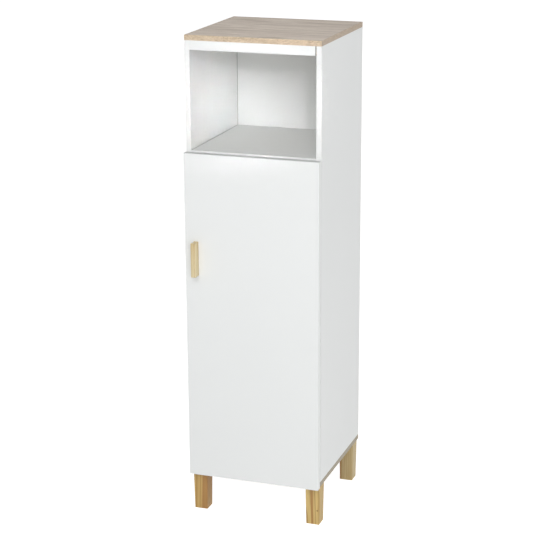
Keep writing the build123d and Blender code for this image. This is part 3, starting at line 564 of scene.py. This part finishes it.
def pine_material(
    name, pith, ring_width, heart_middle, heart_half_width, heart_lean,
    heart_strength=0.8, knot=None, pale=PINE_PALE, warm=PINE_WARM,
):
    """Lacquered pine round a pith line, with one heart streak and perhaps a small knot."""
    material, tree = new_material(name)
    shader = principled(tree, Specular_IOR_Level=0.4)
    where = place_node(tree, "ShaderNodeTexCoord")
    wood = place_group(
        tree, pine_group, pith=pith, ring_width=ring_width, heart_middle=heart_middle,
        heart_half_width=heart_half_width, heart_lean=heart_lean,
    )
    tree.links.new(where.outputs["Object"], wood.inputs["Vector"])
    plain = blend_colors(tree, times(tree, wood.outputs["Rings"], 0.8), pale, warm)
    clouds = times(tree, contrast(tree, wood.outputs["Drift"], 0.42, 0.66), 0.35)
    cloudy = blend_colors(tree, clouds, plain, warm)
    hearted = blend_colors(tree, times(tree, wood.outputs["Heart"], heart_strength), cloudy, PINE_HEART)
    fibres = times(tree, contrast(tree, wood.outputs["Fibre"], 0.45, 0.8), 0.3)
    color = blend_colors(tree, fibres, hearted, PINE_HEART)
    if knot:
        middle, radius = knot
        gap = place_node(tree, "ShaderNodeVectorMath", operation="DISTANCE", inputs={1: middle})
        tree.links.new(where.outputs["Object"], gap.inputs[0])
        spot = times(tree, contrast(tree, gap.outputs["Value"], radius, radius * 0.4), 0.85)
        color = blend_colors(tree, spot, color, PINE_KNOT)
    tree.links.new(color, shader.inputs["Base Color"])
    tree.links.new(remap(tree, wood.outputs["Fibre"], 0.42, 0.6), shader.inputs["Roughness"])
    add_bump(tree, shader, wood.outputs["Fibre"], 0.22, 0.0002)
    return material


def new_piece(name, bm, material, body, *replaced):
    """Turn a bmesh into an object that rides on a body and stands for the CAD nodes named."""
    bmesh.ops.recalc_face_normals(bm, faces=bm.faces)
    mesh = bpy.data.meshes.new(name)
    bm.to_mesh(mesh)
    bm.free()
    mesh.materials.append(material)
    mesh.shade_smooth()
    mesh.set_sharp_from_angle(angle=SHARP_ANGLE)
    piece = bpy.data.objects.new(name, mesh)
    bpy.context.scene.collection.objects.link(piece)
    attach(piece, body)
    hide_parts(*replaced)
    return piece


def tapered_post(low, high, foot_share, ease):
    """A square post between two corners, narrower at the foot, with eased edges."""
    bm = bmesh.new()
    middle = (low + high) / 2
    rings = []
    for step in range(LEG_FACE_CUTS + 1):
        share = step / LEG_FACE_CUTS
        grow = foot_share + (1 - foot_share) * share
        half = Vector(((high.x - low.x) / 2 * grow, (high.y - low.y) / 2 * grow))
        z = low.z + (high.z - low.z) * share
        spots = [(-1, -1), (1, -1), (1, 1), (-1, 1)]
        rings.append([
            bm.verts.new((middle.x + sx * half.x, middle.y + sy * half.y, z)) for sx, sy in spots
        ])
    for lower, upper in zip(rings, rings[1:]):
        for i in range(4):
            j = (i + 1) % 4
            bm.faces.new((lower[i], lower[j], upper[j], upper[i]))
    bm.faces.new(reversed(rings[0]))
    bm.faces.new(rings[-1])
    bmesh.ops.recalc_face_normals(bm, faces=bm.faces)
    corners = [e for e in bm.edges if len(e.link_faces) == 2 and e.calc_face_angle() > CORNER_TURN]
    bmesh.ops.bevel(bm, geom=corners, offset=ease, segments=3, profile=0.6, affect="EDGES")
    return bm


LEG_FOOT_SHARE = 32.0 / 35.0
LEG_WOOD = {
    "front_left_leg": {
        "pith": (-0.090, -0.065, 0.0), "ring_width": 0.0055,
        "heart_middle": -0.1290, "heart_half_width": 0.0078, "heart_lean": 0.035,
        "pale": (0.62, 0.42, 0.155, 1.0), "warm": (0.37, 0.20, 0.05, 1.0),
    },
    "front_right_leg": {
        "pith": (0.105, -0.060, 0.0), "ring_width": 0.0048,
        "heart_middle": 0.1425, "heart_half_width": 0.0032, "heart_lean": -0.010,
        "knot": ((0.1520, -0.1340, 0.036), 0.0028),
    },
    "rear_left_leg": {
        "pith": (-0.200, 0.100, 0.0), "ring_width": 0.0040,
        "heart_middle": -0.150, "heart_half_width": 0.0030, "heart_lean": 0.020,
    },
    "rear_right_leg": {
        "pith": (0.070, 0.090, 0.0), "ring_width": 0.0045,
        "heart_middle": 0.1290, "heart_half_width": 0.0025, "heart_lean": 0.010,
        "pale": (0.62, 0.50, 0.27, 1.0), "warm": (0.48, 0.34, 0.15, 1.0),
    },
}
for name, wood in LEG_WOOD.items():
    low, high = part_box(name)
    post = tapered_post(low, high, LEG_FOOT_SHARE, LEG_EASE)
    pine = pine_material(f"{name}_pine", **wood)
    leg = new_piece(f"{name}_pine", post, pine, "carcass", name)

# Handle: a pine bar set on edge, with a finger groove run down its outer side near the door.
# Screwed from behind; its front edges and both ends are rounded over.
HANDLE_ROUND = 0.0014
HANDLE_CORNER_STEPS = 4
HANDLE_END_ROUND = 0.0006
HANDLE_STEPS = 10
GROOVE_RADIUS = 0.0042
GROOVE_FROM_DOOR = 0.0080
SAME_PLACE = 1e-6
OFF_THE_DOOR = 1e-5
low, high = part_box("handle")
groove_middle = Vector((low.x, high.y - GROOVE_FROM_DOOR))


def handle_outline():
    """The bar's section, anticlockwise from above: groove on the left, rounded front corners."""
    points = []
    for step in range(HANDLE_STEPS + 1):
        turn = math.radians(90 - 180 * step / HANDLE_STEPS)
        points.append(groove_middle + GROOVE_RADIUS * Vector((math.cos(turn), math.sin(turn))))
    for corner, first in ((Vector((low.x, low.y)), 180), (Vector((high.x, low.y)), 270)):
        inset = Vector((HANDLE_ROUND if first == 180 else -HANDLE_ROUND, HANDLE_ROUND))
        for step in range(HANDLE_CORNER_STEPS + 1):
            turn = math.radians(first + 90 * step / HANDLE_CORNER_STEPS)
            points.append(corner + inset + HANDLE_ROUND * Vector((math.cos(turn), math.sin(turn))))
    points.append(Vector((high.x, high.y)))
    points.append(Vector((low.x, high.y)))
    return points


bm = bmesh.new()
outline = handle_outline()
bottom = [bm.verts.new((p.x, p.y, low.z)) for p in outline]
top = [bm.verts.new((p.x, p.y, high.z)) for p in outline]
for i in range(len(outline)):
    j = (i + 1) % len(outline)
    bm.faces.new((bottom[i], bottom[j], top[j], top[i]))
bm.faces.new(reversed(bottom))
bm.faces.new(top)
bmesh.ops.recalc_face_normals(bm, faces=bm.faces)
ends = [e for e in bm.edges if abs(e.verts[0].co.z - e.verts[1].co.z) < SAME_PLACE]
ends = [e for e in ends if min(e.verts[0].co.y, e.verts[1].co.y) < high.y - OFF_THE_DOOR]
bmesh.ops.bevel(bm, geom=ends, offset=HANDLE_END_ROUND, segments=2, profile=0.6, affect="EDGES")
handle_wood = pine_material(
    "handle_pine", (-0.120, -0.05, 0.0), 0.0042, -0.1285, 0.0012, 0.004, heart_strength=0.35,
    pale=(0.86, 0.75, 0.48, 1.0), warm=(0.56, 0.42, 0.20, 1.0),
)
handle = new_piece("handle_pine", bm, handle_wood, "door", "handle")

# Metal fittings: cams, cam bolts, pins, hinges and screws, all plated and slightly scuffed.
# Zinc castings are dull; the pressed hinge parts are bright nickel over steel.
ZINC = (0.52, 0.53, 0.55, 1.0)
NICKEL = (0.70, 0.68, 0.65, 1.0)
STEEL = (0.58, 0.58, 0.60, 1.0)


def metal_material(name, color, roughness, scuff):
    material, tree = new_material(name)
    shader = principled(tree, Metallic=1.0)
    where = place_node(tree, "ShaderNodeTexCoord")
    skin = place_group(tree, skin_group, pebble_scale=1800.0, cloud_scale=120.0)
    tree.links.new(where.outputs["Object"], skin.inputs["Vector"])
    dull = tuple(part * 0.8 for part in color[:3]) + (1.0,)
    tree.links.new(blend_colors(tree, skin.outputs["Cloud"], color, dull), shader.inputs["Base Color"])
    rough = remap(tree, skin.outputs["Cloud"], roughness, roughness + scuff)
    tree.links.new(rough, shader.inputs["Roughness"])
    add_bump(tree, shader, skin.outputs["Pebble"], 0.1, 0.0001)
    return material


zinc = metal_material("zinc_casting", ZINC, 0.38, 0.2)
nickel = metal_material("nickel_plate", NICKEL, 0.2, 0.15)
steel = metal_material("zinc_plated_steel", STEEL, 0.3, 0.2)
dress(zinc, "leg_inserts", "shelf_pins")
dress(steel, "top_cam_bolts", "shelf_cam_bolts", "bottom_cam_bolts", "leg_bolts", "wall_bracket")
dress(steel, "hinge_pins")
for end_name in ("upper", "lower"):
    dress(nickel, f"{end_name}_hinge_cup", f"{end_name}_hinge_plate", f"{end_name}_hinge_arm")

# Screws and cams: turned heads with a pressed cross recess, on plain shanks. Each kind is one
# pattern, copied by Geometry Nodes to every place where its CAD node has a solid.
CROSS_ANGLES = (40.0, 50.0)
CROSS_FLOOR = 0.7
HEAD_SHOULDER = 0.94
RECESS_ARM = 0.13
RECESS_REACH = 0.62
SHANK_RADIUS = 0.00175
METAL_SHARP_ANGLE = math.radians(35)


def solids_of(name):
    """Low and high corners of each separate solid in a CAD node, in the row frame."""
    bm = bmesh.new()
    bm.from_mesh(nodes[name].data)
    bm.transform(nodes[name].matrix_world)
    bmesh.ops.remove_doubles(bm, verts=bm.verts, dist=SAME_PLACE)
    waiting = set(bm.verts)
    boxes = []
    while waiting:
        search = [waiting.pop()]
        island = []
        while search:
            vert = search.pop()
            island.append(vert.co.copy())
            for edge in vert.link_edges:
                other = edge.other_vert(vert)
                if other in waiting:
                    waiting.remove(other)
                    search.append(other)
        low = Vector([min(point[i] for point in island) for i in range(3)])
        high = Vector([max(point[i] for point in island) for i in range(3)])
        boxes.append((low, high))
    bm.free()
    return boxes


def cross_ring(bm, radius, arm_half, surface, floor):
    """One ring of a head: each quarter has an arm of the cross recess and four other points."""
    ring = []
    outer = math.degrees(math.asin(min(arm_half / radius, 0.6)))
    inner = math.degrees(math.asin(min(arm_half * CROSS_FLOOR / radius, 0.4)))
    for quarter in range(4):
        for angle, z in ((-outer, surface), (-inner, floor), (inner, floor), (outer, surface)):
            ring.append((90 * quarter + angle, z))
        for angle in CROSS_ANGLES:
            ring.append((90 * quarter + angle, surface))
    points = []
    for angle, z in ring:
        turn = math.radians(angle)
        points.append(bm.verts.new((radius * math.cos(turn), radius * math.sin(turn), z)))
    return points


def fastener_pattern(name, head_radius, head_height, dome, shank_radius, length):
    """A fastener with its head's top at the origin, looking up, and its shank running down."""
    bm = bmesh.new()
    arm_half = head_radius * RECESS_ARM
    reach = head_radius * RECESS_REACH
    recess = min(head_height * 0.6, head_radius * 0.4)

    def surface(radius):
        return -dome * (radius / head_radius) ** 2

    shoulder = surface(head_radius) - min(head_height - dome, head_height * 0.2)
    rings = [
        cross_ring(bm, arm_half * 1.05, arm_half, -recess, -recess),
        cross_ring(bm, arm_half * 2.2, arm_half, surface(arm_half * 2.2), -recess),
        cross_ring(bm, reach * 0.85, arm_half, surface(reach * 0.85), -recess),
        cross_ring(bm, reach, arm_half, surface(reach), surface(reach)),
        cross_ring(bm, head_radius * HEAD_SHOULDER, arm_half, surface(head_radius), surface(head_radius)),
        cross_ring(bm, head_radius, arm_half, shoulder, shoulder),
        cross_ring(bm, head_radius, arm_half, -head_height, -head_height),
        cross_ring(bm, shank_radius, arm_half, -head_height, -head_height),
    ]
    if length > head_height:
        rings.append(cross_ring(bm, shank_radius, arm_half, -length * 0.85, -length * 0.85))
        rings.append(cross_ring(bm, shank_radius * 0.3, arm_half * 0.3, -length, -length))
    for inside, outside in zip(rings, rings[1:]):
        for i in range(len(inside)):
            j = (i + 1) % len(inside)
            bm.faces.new((inside[i], outside[i], outside[j], inside[j]))
    bm.faces.new(rings[0])
    bm.faces.new(reversed(rings[-1]))
    bmesh.ops.recalc_face_normals(bm, faces=bm.faces)
    mesh = bpy.data.meshes.new(name)
    bm.to_mesh(mesh)
    bm.free()
    pattern = bpy.data.objects.new(name, mesh)
    bpy.context.scene.collection.objects.link(pattern)
    return pattern


copier = bpy.data.node_groups.new("copy_fasteners", "GeometryNodeTree")
copier.interface.new_socket("Places", in_out="INPUT", socket_type="NodeSocketGeometry")
pattern_socket = copier.interface.new_socket("Pattern", in_out="INPUT", socket_type="NodeSocketObject")
metal_socket = copier.interface.new_socket("Metal", in_out="INPUT", socket_type="NodeSocketMaterial")
copier.interface.new_socket("Geometry", in_out="OUTPUT", socket_type="NodeSocketGeometry")
start = copier.nodes.new("NodeGroupInput")
end = copier.nodes.new("NodeGroupOutput")
outward = place_node(copier, "GeometryNodeInputNamedAttribute", data_type="FLOAT_VECTOR")
outward.inputs["Name"].default_value = "outward"
turned = place_node(copier, "FunctionNodeAlignRotationToVector", axis="Z")
shape = place_node(copier, "GeometryNodeObjectInfo")
copies = place_node(copier, "GeometryNodeInstanceOnPoints")
solid = place_node(copier, "GeometryNodeRealizeInstances")
plated = place_node(copier, "GeometryNodeSetMaterial")
for a, b in (
    (outward.outputs["Attribute"], turned.inputs["Vector"]),
    (start.outputs["Places"], copies.inputs["Points"]),
    (start.outputs["Pattern"], shape.inputs["Object"]),
    (shape.outputs["Geometry"], copies.inputs["Instance"]),
    (turned.outputs["Rotation"], copies.inputs["Rotation"]),
    (copies.outputs["Instances"], solid.inputs["Geometry"]),
    (solid.outputs["Geometry"], plated.inputs["Geometry"]),
    (start.outputs["Metal"], plated.inputs["Material"]),
    (plated.outputs["Geometry"], end.inputs["Geometry"]),
):
    copier.links.new(a, b)


def place_fasteners(name, body, metal, direction_of, head_height=None, dome=0.0):
    """Swap a CAD node's plain fasteners for detailed ones, heads towards direction_of(middle)."""
    boxes = solids_of(name)
    mesh = bpy.data.meshes.new(f"{name}_places")
    tops = []
    ways = []
    for low, high in boxes:
        middle = (low + high) / 2
        way = Vector(direction_of(middle))
        half = (high - low) / 2
        length = 2 * abs(way.dot(half))
        head_radius = sorted(half[i] for i in range(3) if abs(way[i]) < 0.5)[0]
        tops.append(middle + way * length / 2)
        ways.append(way)
    mesh.from_pydata(tops, [], [])
    store = mesh.attributes.new("outward", "FLOAT_VECTOR", "POINT")
    store.data.foreach_set("vector", [number for way in ways for number in way])
    height = head_height or length
    shank = min(SHANK_RADIUS, head_radius * 0.9)
    pattern = fastener_pattern(f"{name}_pattern", head_radius, height, dome, shank, length)
    holder = bpy.data.objects.new(f"{name}_copies", mesh)
    bpy.context.scene.collection.objects.link(holder)
    modifier = holder.modifiers.new("copies", "NODES")
    modifier.node_group = copier
    modifier[pattern_socket.identifier] = pattern
    modifier[metal_socket.identifier] = metal
    ready = holder.evaluated_get(bpy.context.evaluated_depsgraph_get())
    plain = bpy.data.meshes.new_from_object(ready)
    plain.name = f"{name}_detailed"
    holder.modifiers.clear()
    plain.shade_smooth()
    plain.set_sharp_from_angle(angle=METAL_SHARP_ANGLE)
    holder.data = plain
    holder.name = f"{name}_detailed"
    bpy.data.objects.remove(pattern)
    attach(holder, body)
    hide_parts(name)


def to_left(middle):
    return (-1.0, 0.0, 0.0)


def to_rear(middle):
    return (0.0, 1.0, 0.0)


def to_floor(middle):
    return (0.0, 0.0, -1.0)


def to_inside(middle):
    return (-math.copysign(1.0, middle.x), 0.0, 0.0)


place_fasteners("plate_screws", "carcass", steel, to_left, head_height=0.002, dome=0.0007)
place_fasteners("arm_screws", "carcass", steel, to_left, head_height=0.002, dome=0.0007)
place_fasteners("bracket_screws", "carcass", steel, to_floor, head_height=0.001, dome=0.0003)
place_fasteners("cup_screws", "door", steel, to_rear, head_height=0.0006, dome=0.0002)
place_fasteners("handle_screws", "door", steel, to_rear, head_height=0.002, dome=0.0)
for name, direction_of in (("top_cams", to_inside), ("bottom_cams", to_inside), ("shelf_cams", to_floor)):
    place_fasteners(name, "carcass", zinc, direction_of)

# Dowels: plain beech pegs, tapped into both boards to keep them in line.
# They are hidden once the unit is together, so they have only raw wood with a fine fleck.
BEECH_DARK = (0.60, 0.42, 0.25, 1.0)
BEECH_LIGHT = (0.72, 0.55, 0.36, 1.0)
beech, tree = new_material("raw_beech")
shader = principled(tree, Roughness=0.7)
where = place_node(tree, "ShaderNodeTexCoord")
fleck = place_node(tree, "ShaderNodeTexNoise", inputs={"Scale": 400.0, "Detail": 3.0})
tree.links.new(where.outputs["Object"], fleck.inputs["Vector"])
beech_tone = blend_colors(tree, fleck.outputs["Fac"], BEECH_DARK, BEECH_LIGHT)
tree.links.new(beech_tone, shader.inputs["Base Color"])
add_bump(tree, shader, fleck.outputs["Fac"], 0.3, 0.0003)
dress(beech, "top_dowels", "shelf_dowels", "bottom_dowels", "rail_dowels")

# Door bumpers: two clear soft domes stuck inside the free edge, so the door closes quietly.
# Cast in clear rubber with a flat back and a slightly flattened top.
BUMPER_LOW = (0.80, 0.83, 0.83, 1.0)
BUMPER_HIGH = (0.88, 0.90, 0.90, 1.0)
BUMPER_TOP = 0.35
BUMPER_RINGS = 6
BUMPER_SIDES = 24
bumper_clear, tree = new_material("clear_bumper")
shader = principled(tree, Roughness=0.25, Transmission_Weight=0.7, IOR=1.45)
where = place_node(tree, "ShaderNodeTexCoord")
haze = place_node(tree, "ShaderNodeTexNoise", inputs={"Scale": 300.0})
tree.links.new(where.outputs["Object"], haze.inputs["Vector"])
haze_tone = blend_colors(tree, haze.outputs["Fac"], BUMPER_LOW, BUMPER_HIGH)
tree.links.new(haze_tone, shader.inputs["Base Color"])
low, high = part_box("door_bumpers")
radius = (high.x - low.x) / 2
depth = high.y - low.y
bm = bmesh.new()
for z in (low.z + radius, high.z - radius):
    rings = []
    for step in range(BUMPER_RINGS + 1):
        turn = math.radians(90 * step / BUMPER_RINGS)
        reach = radius * (BUMPER_TOP + (1 - BUMPER_TOP) * math.cos(turn))
        y = low.y + depth * math.sin(turn)
        ring = []
        for i in range(BUMPER_SIDES):
            around = math.tau * i / BUMPER_SIDES
            x = low.x + radius + reach * math.cos(around)
            ring.append(bm.verts.new((x, y, z + reach * math.sin(around))))
        rings.append(ring)
    for near, far in zip(rings, rings[1:]):
        for i in range(BUMPER_SIDES):
            j = (i + 1) % BUMPER_SIDES
            bm.faces.new((near[i], near[j], far[j], far[i]))
    bm.faces.new(rings[0])
    bm.faces.new(reversed(rings[-1]))
bumpers = new_piece("door_bumper_domes", bm, bumper_clear, "door", "door_bumpers")
